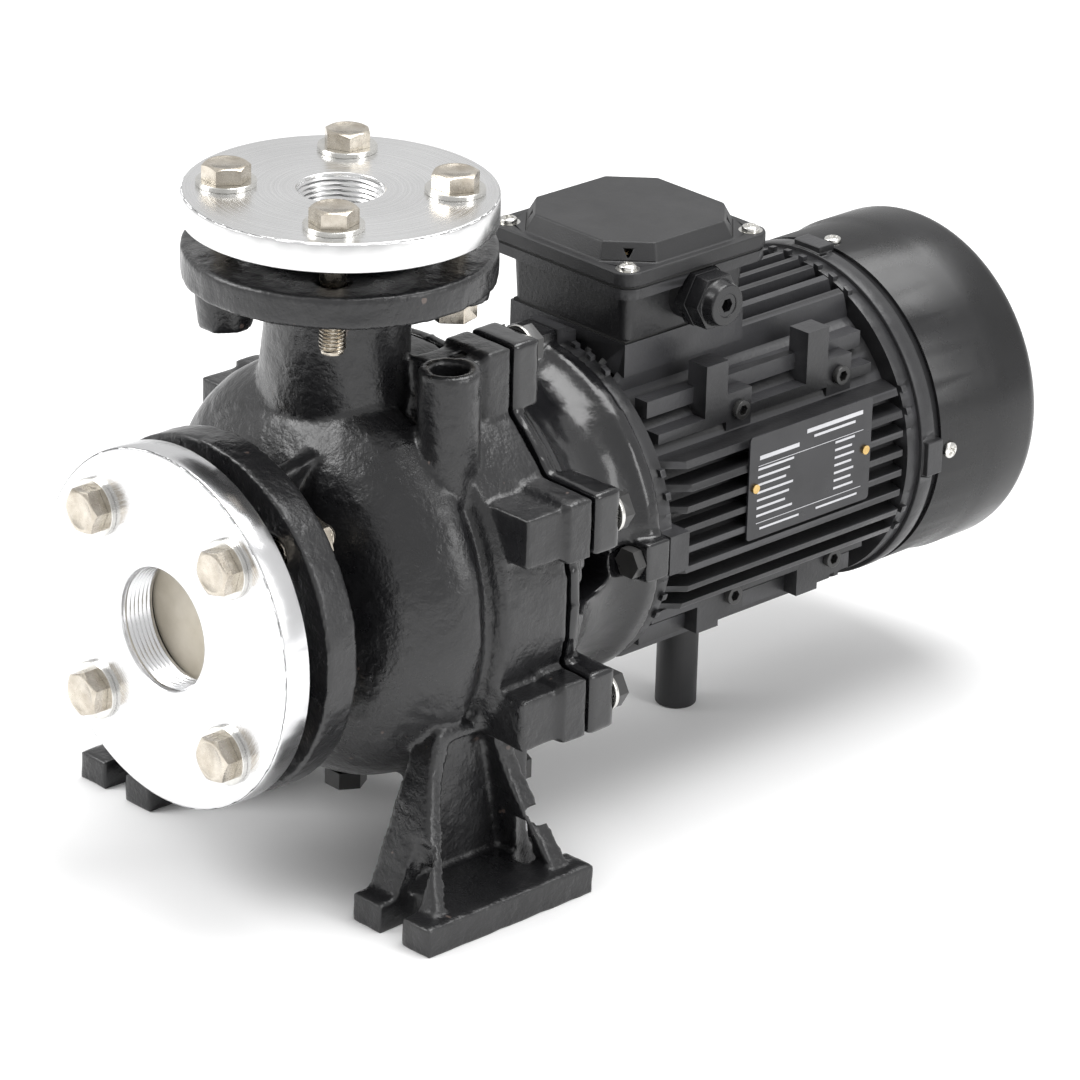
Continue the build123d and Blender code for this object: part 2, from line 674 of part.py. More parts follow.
with BuildPart() as rear_balls:
    with Locations(across(BEARING_YS[1])):
        with PolarLocations(BALL_PCR, BALLS):
            Sphere(BALL_R)
rear_balls.part.label = "rear_balls"
export_step(rear_balls.part, "parts/rear_balls.step")

with BuildPart() as front_cage:
    with BuildSketch(across(BEARING_YS[0] - 5.2)):
        Circle(20.4)
        Circle(18.1, mode=Mode.SUBTRACT)
    extrude(amount=-10.4)
    with Locations(across(BEARING_YS[0])):
        with PolarLocations(BALL_PCR, BALLS):
            Cylinder(BALL_R + 0.08, 14, rotation=(0, 90, 0), mode=Mode.SUBTRACT)
front_cage.part.label = "front_cage"
export_step(front_cage.part, "parts/front_cage.step")

with BuildPart() as rear_cage:
    with BuildSketch(across(BEARING_YS[1] - 5.2)):
        Circle(20.4)
        Circle(18.1, mode=Mode.SUBTRACT)
    extrude(amount=-10.4)
    with Locations(across(BEARING_YS[1])):
        with PolarLocations(BALL_PCR, BALLS):
            Cylinder(BALL_R + 0.08, 14, rotation=(0, 90, 0), mode=Mode.SUBTRACT)
rear_cage.part.label = "rear_cage"
export_step(rear_cage.part, "parts/rear_cage.step")

# ---- motor: stator, finned frame, end shield and fan cover ----
with BuildPart() as stator_core:
    with BuildSketch(across(155)):
        Circle(STATOR_R)
        Circle(AIR_R, mode=Mode.SUBTRACT)
        with PolarLocations(52, 24):
            Rectangle(13, 5, mode=Mode.SUBTRACT)
    extrude(amount=-110)
stator_core.part.label = "stator_core"
export_step(stator_core.part, "parts/stator_core.step")

with BuildPart() as stator_windings:
    with BuildSketch(across(155)):
        with PolarLocations(52, 24):
            Rectangle(13, 5)
    extrude(amount=-110)
    with BuildSketch(RADIAL):
        with Locations((144, 53), (276, 53)):
            RectangleRounded(22, 16, 6)
    revolve(axis=SHAFT)
stator_windings.part.label = "stator_windings"
export_step(stator_windings.part, "parts/stator_windings.step")

with BuildPart() as motor_frame:
    with BuildSketch(across(MOTOR_Y0)):
        Circle(SHELL_R)
        Circle(STATOR_R, mode=Mode.SUBTRACT)
    extrude(amount=MOTOR_Y0 - MOTOR_Y1)
    for y in (MOTOR_Y0, MOTOR_Y1 - 8):
        with BuildSketch(across(y)):
            Circle(FIN_R - 2)
            Circle(STATOR_R, mode=Mode.SUBTRACT)
        extrude(amount=-8)
    # Level fins down both sides, upright fins on top and below, inside a flattened circle.
    with BuildSketch(across(MOTOR_Y0 + 5)):
        with GridLocations(0, FIN_PITCH, 1, 8):
            Rectangle(2 * FIN_X, FIN_T)
        with GridLocations(FIN_PITCH, 0, 8, 1):
            Rectangle(FIN_T, 2 * FIN_R)
        Circle(FIN_R, mode=Mode.INTERSECT)
        Circle(SHELL_R - 1, mode=Mode.SUBTRACT)
    extrude(amount=-162)
    # Fin ends swept back from the bracket and from the fan cover.
    with BuildSketch(RADIAL):
        Polygon((MOTOR_Y0 + 8, 200), (MOTOR_Y0 + 8, SHELL_R + 2), (MOTOR_Y0 + 10, SHELL_R + 2),
                (MOTOR_Y0 + 24, FIN_R + 2), (MOTOR_Y0 + 24, 200), align=None)
        Polygon((MOTOR_Y1 - 8, 200), (MOTOR_Y1 - 8, SHELL_R + 2), (MOTOR_Y1 - 12, FIN_R + 2),
                (MOTOR_Y1 - 12, 200), align=None)
    revolve(axis=SHAFT, mode=Mode.SUBTRACT)
    # Rails and stepped foot pads at the four corners.
    with BuildSketch(across(MOTOR_Y0 + 16)):
        with GridLocations(2 * PAD_X - 8, 2 * PAD_DZ - 4, 2, 2):
            Rectangle(8, 5)
        with GridLocations(2 * PAD_X - 24, 2 * PAD_DZ + 20, 2, 2):
            Rectangle(8, 8)
        Circle(SHELL_R - 1, mode=Mode.SUBTRACT)
    extrude(amount=-140)
    for y in PAD_YS:
        with BuildSketch(across(y - 8)):
            with GridLocations(2 * PAD_X - 16, 2 * PAD_DZ, 2, 2):
                Rectangle(16, 18)
            Circle(SHELL_R - 1, mode=Mode.SUBTRACT)
        extrude(amount=-16)
        with BuildSketch(across(y - 22)):
            with Locations((0, RISER_LIFT)):
                with GridLocations(2 * PAD_X - 12, 2 * PAD_DZ + 12, 2, 2):
                    Rectangle(12, 28)
            Circle(SHELL_R - 1, mode=Mode.SUBTRACT)
        extrude(amount=-14)
    # Ears for the bracket bolts and for the fan cover screws.
    with BuildSketch(across(MOTOR_Y0)):
        with PolarLocations(0, 4):
            with Locations((78, 0)):
                Rectangle(18, 19)
        Circle(SHELL_R - 1, mode=Mode.SUBTRACT)
    extrude(amount=-12)
    # Clear the fins from under the terminal box and round the leg, then add both seats.
    with BuildSketch(Plane.XY.offset(BOX_Z0)):
        with Locations((0, BOX_Y)):
            Rectangle(90, 95)
    extrude(amount=12, mode=Mode.SUBTRACT)
    with BuildSketch(Plane.XY.offset(LEG_TOP)):
        with Locations((0, LEG_Y)):
            Circle(LEG_R + 1)
    extrude(amount=-12, mode=Mode.SUBTRACT)
    with BuildSketch(Plane.XY.offset(BOX_Z0)):
        with Locations((0, BOX_Y)):
            Rectangle(76, 76)
    extrude(amount=-16)
    with BuildSketch(Plane.XY.offset(LEG_TOP)):
        with Locations((0, LEG_Y)):
            Circle(15)
    extrude(amount=16)
    with BuildSketch(across(MOTOR_Y0)):
        Circle(STATOR_R)
    extrude(amount=MOTOR_Y0 - MOTOR_Y1, mode=Mode.SUBTRACT)
    with BuildSketch(across(MOTOR_Y0)):
        with PolarLocations(MOTOR_BOLT_PCR, 4):
            Circle(4)
    extrude(amount=-12, mode=Mode.SUBTRACT)
    with BuildSketch(Plane.XY.offset(BOX_Z0)):
        with Locations((0, BOX_Y)):
            Circle(14)
    extrude(amount=-60, mode=Mode.SUBTRACT)
    with BuildSketch(Plane.XY.offset(LEG_TOP)):
        with Locations((0, LEG_Y)):
            Circle(4)
    extrude(amount=12, mode=Mode.SUBTRACT)
motor_frame.part.label = "motor_frame"
export_step(motor_frame.part, "parts/motor_frame.step")

with BuildPart() as end_shield:
    with BuildSketch(RADIAL):
        Polygon((MOTOR_Y1, FIN_R), (MOTOR_Y1, 66), (300, 60), (300, 36), (292, 34), (292, 26), (309, 26), (309, 20),
                (314, 20), (314, 34), (306, 60), (306, 72), (322, 76), (322, COVER_R - 1.7), (306, COVER_R - 1.7),
                (306, FIN_R), align=None)
    revolve(axis=SHAFT)
    # Ears behind the fan cover screws.
    with BuildSketch(across(MOTOR_Y1 + 1)):
        with PolarLocations(0, 4):
            with Locations((79, 0)):
                Rectangle(12, 17)
        Circle(78, mode=Mode.SUBTRACT)
    extrude(amount=-10)
end_shield.part.label = "end_shield"
export_step(end_shield.part, "parts/end_shield.step")

with BuildPart() as wave_spring:
    with BuildSketch(across(308)):
        Circle(25.5)
        Circle(21.5, mode=Mode.SUBTRACT)
    extrude(amount=-1)
wave_spring.part.label = "wave_spring"
export_step(wave_spring.part, "parts/wave_spring.step")

with BuildPart() as fan_cover:
    with BuildSketch(RADIAL):
        with BuildLine():
            Polyline((COVER_Y0, COVER_R), (344, COVER_R), (348, COVER_R + 1.5), (COVER_Y1 - 9, COVER_R + 1.5))
            ThreePointArc((COVER_Y1 - 9, COVER_R + 1.5), (COVER_Y1 - 2.6, COVER_R - 1.1), (COVER_Y1, COVER_R - 7.5))
            Polyline((COVER_Y1, COVER_R - 7.5), (COVER_Y1, 0), (COVER_Y1 - 1.6, 0), (COVER_Y1 - 1.6, COVER_R - 7.5))
            ThreePointArc((COVER_Y1 - 1.6, COVER_R - 7.5), (COVER_Y1 - 3.7, COVER_R - 2.2), (COVER_Y1 - 9, COVER_R - 0.1))
            Polyline((COVER_Y1 - 9, COVER_R - 0.1), (348.5, COVER_R - 0.1), (344.5, COVER_R - 1.6),
                     (COVER_Y0, COVER_R - 1.6), (COVER_Y0, COVER_R))
        make_face()
    revolve(axis=SHAFT)
    # Concentric inlet slots in the rear wall, left joined by four spokes.
    with BuildSketch(across(COVER_Y1 - 3)):
        for r in range(20, 70, 9):
            Circle(r + 2.5)
            Circle(r - 2.5, mode=Mode.SUBTRACT)
        with PolarLocations(0, 2):
            Rectangle(180, 7, mode=Mode.SUBTRACT)
            Rectangle(7, 180, mode=Mode.SUBTRACT)
    extrude(amount=-5, mode=Mode.SUBTRACT)
fan_cover.part.label = "fan_cover"
export_step(fan_cover.part, "parts/fan_cover.step")

with BuildPart() as cover_screws:
    for turn in range(4):
        with BuildSketch(Plane(origin=(0, 316, SHAFT_Z), z_dir=(math.cos(math.pi * turn / 2), 0,
                                                                 math.sin(math.pi * turn / 2))).offset(COVER_R)):
            Circle(4.5)
        extrude(amount=2.6)
cover_screws.part.label = "cover_screws"
export_step(cover_screws.part, "parts/cover_screws.step")

with BuildPart() as pad_screws:
    for hand in (-1, 1):
        for y in PAD_YS:
            for dz in (-PAD_DZ, PAD_DZ):
                with BuildSketch(side(hand * PAD_X, y, SHAFT_Z + dz)):
                    Circle(4.5)
                    RegularPolygon(2.2, 6, major_radius=False, mode=Mode.SUBTRACT)
                extrude(amount=hand * 3)
pad_screws.part.label = "pad_screws"
export_step(pad_screws.part, "parts/pad_screws.step")

# ---- terminal box ----
with BuildPart() as box_gasket:
    with BuildSketch(Plane.XY.offset(BOX_Z0)):
        with Locations((0, BOX_Y)):
            Rectangle(74, 74)
            Circle(16, mode=Mode.SUBTRACT)
    extrude(amount=1)
box_gasket.part.label = "box_gasket"
export_step(box_gasket.part, "parts/box_gasket.step")

with BuildPart() as terminal_box:
    with BuildSketch(Plane.XY.offset(BOX_Z0 + 1)):
        with Locations((0, BOX_Y)):
            RectangleRounded(74, 74, 4)
    with BuildSketch(Plane.XY.offset(BOX_Z1)):
        with Locations((0, BOX_Y)):
            RectangleRounded(78, 78, 6)
    loft()
    with BuildSketch(Plane.XY.offset(BOX_Z1)):
        with Locations((0, BOX_Y)):
            RectangleRounded(93, 93, 9)
    extrude(amount=-5)
    with BuildSketch(Plane.XY.offset(BOX_Z1)):
        with Locations((0, BOX_Y)):
            RectangleRounded(66, 66, 8)
    extrude(amount=4 - (BOX_Z1 - BOX_Z0 - 1), mode=Mode.SUBTRACT)
    with BuildSketch(side(43.5, GLAND_Y, GLAND_Z)):
        Circle(15)
    extrude(amount=5, mode=Mode.SUBTRACT)
    with BuildSketch(side(36, GLAND_Y, GLAND_Z)):
        Circle(12.6)
    extrude(amount=7.5)
    with BuildSketch(side(30, GLAND_Y, GLAND_Z)):
        Circle(8)
    extrude(amount=20, mode=Mode.SUBTRACT)
    with BuildSketch(Plane.XY.offset(BOX_Z0)):
        with Locations((0, BOX_Y)):
            Circle(14)
    extrude(amount=6, mode=Mode.SUBTRACT)
    with BuildSketch(Plane.XY.offset(BOX_Z1)):
        with Locations((0, BOX_Y)):
            with GridLocations(LID_PITCH, LID_PITCH, 2, 2):
                Circle(2)
    extrude(amount=-5, mode=Mode.SUBTRACT)
terminal_box.part.label = "terminal_box"
export_step(terminal_box.part, "parts/terminal_box.step")

with BuildPart() as lid_gasket:
    with BuildSketch(Plane.XY.offset(BOX_Z1)):
        with Locations((0, BOX_Y)):
            RectangleRounded(92, 92, 9)
            RectangleRounded(72, 72, 8, mode=Mode.SUBTRACT)
            with GridLocations(LID_PITCH, LID_PITCH, 2, 2):
                Circle(2.2, mode=Mode.SUBTRACT)
    extrude(amount=1.2)
lid_gasket.part.label = "lid_gasket"
export_step(lid_gasket.part, "parts/lid_gasket.step")

with BuildPart() as terminal_lid:
    with BuildSketch(Plane.XY.offset(BOX_Z1 + 1.2)):
        with Locations((0, BOX_Y)):
            RectangleRounded(94, 94, 9)
    extrude(amount=6.8)
    with BuildSketch(Plane.XY.offset(BOX_Z1 + 8)):
        with Locations((0, BOX_Y)):
            Rectangle(86, 86)
            with GridLocations(86, 86, 2, 2):
                Rectangle(26, 26, rotation=45, mode=Mode.SUBTRACT)
    with BuildSketch(Plane.XY.offset(LID_TOP)):
        with Locations((0, BOX_Y)):
            Rectangle(78, 78)
            with GridLocations(78, 78, 2, 2):
                Rectangle(24, 24, rotation=45, mode=Mode.SUBTRACT)
    loft()
    with BuildSketch(Plane.XY.offset(BOX_Z1 + 1.2)):
        with Locations((0, BOX_Y)):
            Rectangle(66, 66)
    extrude(amount=12, mode=Mode.SUBTRACT)
    with BuildSketch(Plane.XY.offset(BOX_Z1)):
        with Locations((0, BOX_Y)):
            with GridLocations(LID_PITCH, LID_PITCH, 2, 2):
                Circle(2.2)
    extrude(amount=16, mode=Mode.SUBTRACT)
terminal_lid.part.label = "terminal_lid"
export_step(terminal_lid.part, "parts/terminal_lid.step")

with BuildPart() as lid_screws:
    with BuildSketch(Plane.XY.offset(BOX_Z1 - 5)):
        with Locations((0, BOX_Y)):
            with GridLocations(LID_PITCH, LID_PITCH, 2, 2):
                Circle(1.95)
    extrude(amount=13)
    with BuildSketch(Plane.XY.offset(BOX_Z1 + 8)):
        with Locations((0, BOX_Y)):
            with GridLocations(LID_PITCH, LID_PITCH, 2, 2):
                Circle(4.6)
    extrude(amount=2.8)
lid_screws.part.label = "lid_screws"
export_step(lid_screws.part, "parts/lid_screws.step")

with BuildPart() as terminal_block:
    with BuildSketch(Plane.XY.offset(BOX_Z0 + 5)):
        with Locations((0, BOX_Y + 4)):
            Rectangle(50, 30)
    extrude(amount=8)
    with BuildSketch(Plane.XY.offset(BOX_Z0 + 13)):
        with Locations((0, BOX_Y + 4)):
            with GridLocations(16, 0, 4, 1):
                Rectangle(1.6, 30)
    extrude(amount=4)
terminal_block.part.label = "terminal_block"
export_step(terminal_block.part, "parts/terminal_block.step")

with BuildPart() as terminal_studs:
    with BuildSketch(Plane.XY.offset(BOX_Z0 + 13)):
        with Locations((0, BOX_Y + 4)):
            with GridLocations(16, 14, 3, 2):
                Circle(2)
    extrude(amount=12)
    with BuildSketch(Plane.XY.offset(BOX_Z0 + 14)):
        with Locations((0, BOX_Y + 4)):
            with GridLocations(16, 14, 3, 2):
                RegularPolygon(3.5, 6, major_radius=False)
    extrude(amount=4)
terminal_studs.part.label = "terminal_studs"
export_step(terminal_studs.part, "parts/terminal_studs.step")

with BuildPart() as gland_body:
    with BuildSketch(side(43.5, GLAND_Y, GLAND_Z)):
        RegularPolygon(12.5, 6, major_radius=False)
    extrude(amount=6)
    with BuildSketch(side(32, GLAND_Y, GLAND_Z)):
        Circle(7.9)
    extrude(amount=22)
    with BuildSketch(side(32, GLAND_Y, GLAND_Z)):
        Circle(5)
    extrude(amount=30, mode=Mode.SUBTRACT)
gland_body.part.label = "gland_body"
export_step(gland_body.part, "parts/gland_body.step")

with BuildPart() as gland_nut:
    with BuildSketch(side(49.5, GLAND_Y, GLAND_Z)):
        RegularPolygon(12, 6, major_radius=False)
    extrude(amount=8)
    with BuildSketch(side(57.5, GLAND_Y, GLAND_Z)):
        Circle(11)
    extrude(amount=6, taper=12)
    with BuildSketch(side(49.5, GLAND_Y, GLAND_Z)):
        Circle(7.9)
    extrude(amount=4.5, mode=Mode.SUBTRACT)
    with BuildSketch(side(49.5, GLAND_Y, GLAND_Z)):
        Circle(5.5)
    extrude(amount=20, mode=Mode.SUBTRACT)
gland_nut.part.label = "gland_nut"
export_step(gland_nut.part, "parts/gland_nut.step")

with BuildPart() as gland_plug:
    with BuildSketch(side(55, GLAND_Y, GLAND_Z)):
        Circle(5.5)
    extrude(amount=8)
    with BuildSketch(side(58, GLAND_Y, GLAND_Z)):
        RegularPolygon(3, 6, major_radius=False)
    extrude(amount=6, mode=Mode.SUBTRACT)
gland_plug.part.label = "gland_plug"
export_step(gland_plug.part, "parts/gland_plug.step")

# ---- nameplate, rivets, support leg ----
with BuildPart() as nameplate:
    with BuildSketch(side(FIN_X, 222.8, 146.5)):
        RectangleRounded(81, 51.5, 2)
    extrude(amount=1)
nameplate.part.label = "nameplate"
export_step(nameplate.part, "parts/nameplate.step")

with BuildPart() as nameplate_rivets:
    with BuildSketch(side(FIN_X + 1, 222.8, 146.5)):
        with GridLocations(73, 0, 2, 1):
            Circle(2.2)
    extrude(amount=1.2)
nameplate_rivets.part.label = "nameplate_rivets"
export_step(nameplate_rivets.part, "parts/nameplate_rivets.step")

with BuildPart() as support_leg:
    with BuildSketch(Plane.XY):
        with Locations((0, LEG_Y)):
            Circle(LEG_R)
            Circle(4.5, mode=Mode.SUBTRACT)
    extrude(amount=LEG_TOP)
    chamfer(support_leg.edges().group_by(Axis.Z)[0], 0.8)
support_leg.part.label = "support_leg"
export_step(support_leg.part, "parts/support_leg.step")

with BuildPart() as leg_screw:
    with BuildSketch(Plane.XY.offset(30)):
        with Locations((0, LEG_Y)):
            Circle(4)
    extrude(amount=32)
leg_screw.part.label = "leg_screw"
export_step(leg_screw.part, "parts/leg_screw.step")
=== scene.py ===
import math
import random

import bmesh
import bpy
from mathutils import Matrix, Vector, noise


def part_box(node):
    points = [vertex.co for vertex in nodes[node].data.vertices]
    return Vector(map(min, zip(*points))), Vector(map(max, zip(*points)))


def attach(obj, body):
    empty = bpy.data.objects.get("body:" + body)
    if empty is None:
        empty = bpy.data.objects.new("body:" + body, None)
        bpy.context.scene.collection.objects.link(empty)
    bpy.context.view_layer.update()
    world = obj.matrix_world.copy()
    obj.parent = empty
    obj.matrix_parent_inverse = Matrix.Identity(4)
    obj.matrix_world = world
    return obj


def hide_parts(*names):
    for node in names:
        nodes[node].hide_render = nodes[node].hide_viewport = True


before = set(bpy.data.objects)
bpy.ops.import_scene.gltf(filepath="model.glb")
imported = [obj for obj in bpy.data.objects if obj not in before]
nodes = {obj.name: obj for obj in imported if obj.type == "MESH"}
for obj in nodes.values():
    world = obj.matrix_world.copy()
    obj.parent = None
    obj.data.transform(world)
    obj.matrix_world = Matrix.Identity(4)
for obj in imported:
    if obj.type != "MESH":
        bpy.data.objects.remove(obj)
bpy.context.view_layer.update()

MM = 0.001


# ---- sizes read from the frame ----

def middle(node):
    """The centre of a CAD node's box."""
    low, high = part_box(node)
    return (low + high) / 2


SHAFT_Z = middle("shaft").z
SUCTION_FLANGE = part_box("suction_counter_flange")
DISCHARGE_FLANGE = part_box("discharge_counter_flange")
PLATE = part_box("nameplate")
SUCTION_PITCH_R = 62.5 * MM
DISCHARGE_PITCH_R = 50 * MM
SUCTION_BOLT_AT = SUCTION_PITCH_R * math.sqrt(0.5)
DISCHARGE_BOLT_AT = DISCHARGE_PITCH_R * math.sqrt(0.5)
SUCTION_BORE_R = 28.33 * MM
DISCHARGE_BORE_R = 19.48 * MM
PIPE_PITCH = 2.309 * MM
WASHER_R = 13.5 * MM
WASHER_HOLE_R = 6.5 * MM
WASHER_T = 2.5 * MM
HEAD_H = 7.5 * MM
ACROSS_FLATS = 19 * MM
THREAD_R = 6 * MM
THREAD_PITCH = 1.75 * MM
BOLT_LENGTH = 60 * MM
LID_SCREW_R = 4.2 * MM
LID_SCREW_H = 2.8 * MM
COVER_SCREW_R = 4.0 * MM
COVER_SCREW_H = 2.4 * MM
SCREW_SHANK_R = 2.0 * MM
CAMERA_AT = Vector((1.75984, -1.57975, 1.17702))
CAMERA_AZIMUTH = math.radians(45.876)
CAMERA_ELEVATION = math.radians(23.505)
CAMERA_ROLL = math.radians(1.65)
CAMERA_LENS_MM = 192.12
UP = Vector((0, 0, 1))
FORWARD = Vector((0, -1, 0))


# ---- shader helpers ----

NOISE_ROUGH = 0.55
MIX_FACTOR, MIX_FIRST, MIX_SECOND, MIX_RESULT = 0, 6, 7, 2
CLOUD_LOW, CLOUD_HIGH = 0.3, 0.7
SMUDGE_SCALE = 2.3
# Pointiness range over which convex edges are lightened: partly paint worn through, partly a painted
# highlight.
WEAR_AND_HIGHLIGHT_FROM, WEAR_AND_HIGHLIGHT_TO = 0.52, 0.60
CHIP_EDGE = 0.02


def new_material(name):
    """A node material with its tree and its shader."""
    material = bpy.data.materials.new(name)
    material.use_nodes = True
    tree = material.node_tree
    return material, tree, tree.nodes["Principled BSDF"]


def link(tree, source, output, target, inp):
    tree.links.new(source.outputs[output], target.inputs[inp])


def noise_node(tree, coords, scale, detail=4.0):
    """Noise in the object's own space, in features per metre."""
    node = tree.nodes.new("ShaderNodeTexNoise")
    node.inputs["Scale"].default_value = scale
    node.inputs["Detail"].default_value = detail
    node.inputs["Roughness"].default_value = NOISE_ROUGH
    link(tree, coords, "Object", node, "Vector")
    return node


def ramp_node(tree, source, output, stops):
    """A colour ramp with the stops (place, grey or colour)."""
    node = tree.nodes.new("ShaderNodeValToRGB")
    ramp = node.color_ramp
    while len(ramp.elements) < len(stops):
        ramp.elements.new(0.5)
    for element, (place, value) in zip(ramp.elements, stops):
        element.position = place
        colour = value if isinstance(value, tuple) else (value, value, value)
        element.color = (*colour, 1)
    link(tree, source, output, node, "Fac")
    return node


def mix_colour(tree, factor, factor_out, first, second):
    """Mixes two colours or colour outputs by a factor output."""
    node = tree.nodes.new("ShaderNodeMix")
    node.data_type = "RGBA"
    tree.links.new(factor.outputs[factor_out], node.inputs[MIX_FACTOR])
    for socket, value in ((MIX_FIRST, first), (MIX_SECOND, second)):
        if isinstance(value, tuple):
            node.inputs[socket].default_value = (*value, 1)
        else:
            tree.links.new(value, node.inputs[socket])
    return node.outputs[MIX_RESULT]


def stack_bumps(tree, shader, layers):
    """Bump layers (height output, strength, distance in metres), one over the other."""
    below = None
    for height, strength, distance in layers:
        bump = tree.nodes.new("ShaderNodeBump")
        bump.inputs["Strength"].default_value = strength
        bump.inputs["Distance"].default_value = distance
        tree.links.new(height, bump.inputs["Height"])
        if below is not None:
            tree.links.new(below.outputs["Normal"], bump.inputs["Normal"])
        below = bump
    if below is not None:
        tree.links.new(below.outputs["Normal"], shader.inputs["Normal"])


def finish(name, dark, light, rough, metallic=0.0, grains=(), patches=25.0, coat=0.0,
           coat_rough=0.1, edge=None, chips=None):
    """A finish with patchy colour and roughness, grain in relief, edges lightened partly for wear and partly
    as a painted highlight, and chips.
    """
    material, tree, shader = new_material(name)
    coords = tree.nodes.new("ShaderNodeTexCoord")
    shader.inputs["Metallic"].default_value = metallic
    shader.inputs["Coat Weight"].default_value = coat
    shader.inputs["Coat Roughness"].default_value = coat_rough
    cloud = noise_node(tree, coords, patches)
    colour = ramp_node(tree, cloud, "Fac", ((CLOUD_LOW, dark), (CLOUD_HIGH, light))).outputs["Color"]
    if edge is not None:
        # Convex edges (pointiness) are mixed towards a lighter grey tint: partly worn paint, partly a painted
        # highlight along the edges.
        amount, tint = edge
        geometry = tree.nodes.new("ShaderNodeNewGeometry")
        wear_and_highlight = ramp_node(tree, geometry, "Pointiness", ((WEAR_AND_HIGHLIGHT_FROM, 0.0), (WEAR_AND_HIGHLIGHT_TO, amount)))
        colour = mix_colour(tree, wear_and_highlight, "Color", colour, tint)
    if chips is not None:
        size, share, tint = chips
        spots = noise_node(tree, coords, size, detail=2.0)
        mask = ramp_node(tree, spots, "Fac", ((share, 0.0), (share + CHIP_EDGE, 1.0)))
        colour = mix_colour(tree, mask, "Color", colour, tint)
    tree.links.new(colour, shader.inputs["Base Color"])
    smudge = noise_node(tree, coords, patches * SMUDGE_SCALE, detail=6.0)
    gloss = ramp_node(tree, smudge, "Fac", ((CLOUD_LOW, rough[0]), (CLOUD_HIGH, rough[1])))
    link(tree, gloss, "Color", shader, "Roughness")
    layers = []
    for scale, strength, distance in grains:
        grain = noise_node(tree, coords, scale, detail=3.0)
        layers.append((grain.outputs["Fac"], strength, distance))
    stack_bumps(tree, shader, layers)
    return material


def turned(name, centre, axis, rough, ring_scale, base):
    """Bright turned metal: faint rings about an axis and fine cross scratches."""
    material, tree, shader = new_material(name)
    coords = tree.nodes.new("ShaderNodeTexCoord")
    shader.inputs["Metallic"].default_value = 1.0
    offset = tree.nodes.new("ShaderNodeVectorMath")
    offset.operation = "SUBTRACT"
    offset.inputs[1].default_value = centre
    link(tree, coords, "Object", offset, 0)
    flat = tree.nodes.new("ShaderNodeVectorMath")
    flat.operation = "MULTIPLY"
    flat.inputs[1].default_value = tuple(0.0 if part else 1.0 for part in axis)
    link(tree, offset, "Vector", flat, 0)
    radius = tree.nodes.new("ShaderNodeVectorMath")
    radius.operation = "LENGTH"
    link(tree, flat, "Vector", radius, 0)
    rings = tree.nodes.new("ShaderNodeTexNoise")
    rings.noise_dimensions = "1D"
    rings.inputs["Scale"].default_value = ring_scale
    rings.inputs["Detail"].default_value = 6.0
    link(tree, radius, "Value", rings, "W")
    cloud = noise_node(tree, coords, 18.0, detail=5.0)
    shade = tuple(0.86 * part for part in base)
    tone = ramp_node(tree, cloud, "Fac", ((CLOUD_LOW, shade), (CLOUD_HIGH, base)))
    link(tree, tone, "Color", shader, "Base Color")
    gloss = ramp_node(tree, rings, "Fac", ((CLOUD_LOW, rough[0]), (CLOUD_HIGH, rough[1])))
    link(tree, gloss, "Color", shader, "Roughness")
    scratch = noise_node(tree, coords, 900.0, detail=2.0)
    layers = (
        (rings.outputs["Fac"], 0.12, 0.0002),
        (scratch.outputs["Fac"], 0.05, 0.0001),
    )
    stack_bumps(tree, shader, layers)
    return material


# ---- one finish for each material slot ----

